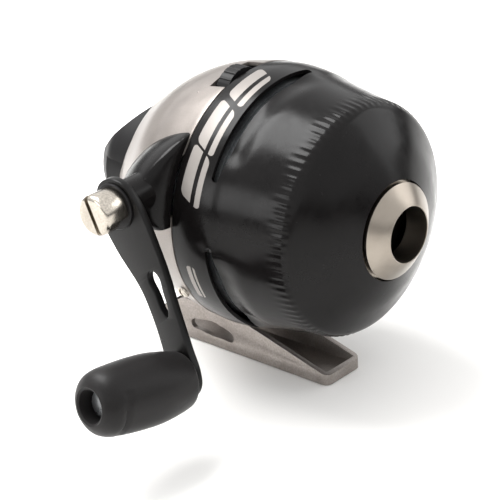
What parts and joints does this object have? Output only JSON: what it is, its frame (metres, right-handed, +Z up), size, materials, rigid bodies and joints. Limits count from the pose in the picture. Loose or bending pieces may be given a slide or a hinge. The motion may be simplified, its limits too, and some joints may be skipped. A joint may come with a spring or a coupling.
{
  "type": "spincast fishing reel",
  "caption": "Closed-face spincast fishing reel with cranked handle, thumb button, drag dial, internal spool and gears, and a foot for a rod's reel seat.",
  "frame": {"origin": "middle of the foot's flat underside", "axes": "+X towards the line guide at the nose, -Y towards the crank, +Z up away from the rod"},
  "size_m": [0.093, 0.1092, 0.0774],
  "materials": {
    "gloss_black": "glossy moulded black, front cover and crank side housing",
    "crank_black": "gloss black paint on stamped steel",
    "satin_silver": "satin silver paint",
    "foot_silver": "tumbled stamped metal",
    "satin_nickel": "turned and satin nickel plated",
    "nickel": "bright nickel plate",
    "steel": "turned steel",
    "brass": "machined",
    "zinc": "die cast zinc, as cast",
    "black_plastic": "fine grained moulding",
    "soft_black": "soft touch moulding",
    "felt_black": "pressed drag felt",
    "acetal": "natural acetal"
  },
  "bodies": {
    "reel_body": {"body_frame": "zinc", "foot": "foot_silver", "foot_screw_rear": "steel", "foot_screw_front": "steel", "rear_cover": "satin_silver", "crank_side_housing": "gloss_black", "cover_screw_crank_side": "nickel", "cover_screw_far_side": "nickel", "hub_bushing_rear": "brass", "hub_bushing_front": "brass", "crank_bushing": "brass", "spool_clip": "steel", "drag_washer": "felt_black", "drag_shoe": "felt_black", "pawl_pin": "steel", "button_spring": "steel"},
    "cover": {"front_cover": "gloss_black", "line_guide_ring": "satin_nickel"},
    "line_spool": {"spool": "satin_nickel"},
    "crank": {"crankshaft": "steel", "drive_gear": "zinc", "ratchet_wheel": "steel", "ratchet_spacer": "acetal", "arm_spacer": "nickel", "crankshaft_clip": "steel", "arm_washer": "nickel", "crank_nut": "nickel", "crank_arm": "crank_black", "knob_pin": "steel"},
    "crank_knob": {"knob": "soft_black"},
    "pinion": {"pinion_gear": "brass"},
    "spinner": {"center_shaft": "steel", "spinner_head": "satin_nickel", "spinner_nut": "steel"},
    "pickup": {"pickup_pin": "steel"},
    "drag": {"drag_dial": "black_plastic", "drag_screw": "steel"},
    "button": {"thumb_button": "black_plastic"},
    "pawl": {"anti_reverse_pawl": "steel"}
  },
  "joints": [
    {"name": "cover_twist", "type": "hinge", "parent": "reel_body", "child": "cover", "pos_m": [0.027, 0, 0.0444], "axis": [1, 0, 0], "range_deg": [0, 15]},
    {"name": "spool_slip", "type": "hinge", "parent": "reel_body", "child": "line_spool", "pos_m": [0.025, 0, 0.0444], "axis": [1, 0, 0], "continuous": true},
    {"name": "crank_turn", "type": "hinge", "parent": "reel_body", "child": "crank", "pos_m": [0, 0, 0.055], "axis": [0, 1, 0], "continuous": true},
    {"name": "knob_spin", "type": "hinge", "parent": "crank", "child": "crank_knob", "pos_m": [0.02207, -0.04678, 0.01797], "axis": [0.0933, 0.9833, -0.1565], "continuous": true},
    {"name": "pinion_spin", "type": "hinge", "parent": "reel_body", "child": "pinion", "pos_m": [0.01, 0, 0.0444], "axis": [1, 0, 0], "continuous": true},
    {"name": "shaft_slide", "type": "slide", "parent": "pinion", "child": "spinner", "axis": [1, 0, 0], "range_m": [0, 0.004]},
    {"name": "pickup_slide", "type": "slide", "parent": "spinner", "child": "pickup", "axis": [0, 0, 1], "range_m": [-0.002, 0]},
    {"name": "drag_turn", "type": "hinge", "parent": "reel_body", "child": "drag", "pos_m": [0.003, -0.0035, 0.07092], "axis": [1, 0, 0], "range_deg": [-150, 150]},
    {"name": "button_press", "type": "slide", "parent": "reel_body", "child": "button", "axis": [1, 0, 0], "range_m": [0, 0.004], "stiffness_N_per_m": 800, "springref_m": -0.001, "deforming": ["button_spring"]},
    {"name": "pawl_lift", "type": "hinge", "parent": "reel_body", "child": "pawl", "pos_m": [0.0116, -0.0133, 0.0592], "axis": [0, 1, 0], "range_deg": [0, 12]}
  ],
  "couplings": [
    {"joint": "pinion_spin", "follows": "crank_turn", "ratio": -2.8333},
    {"joint": "shaft_slide", "follows": "button_press", "ratio": 1},
    {"joint": "pickup_slide", "follows": "button_press", "ratio": -0.5}
  ]
}
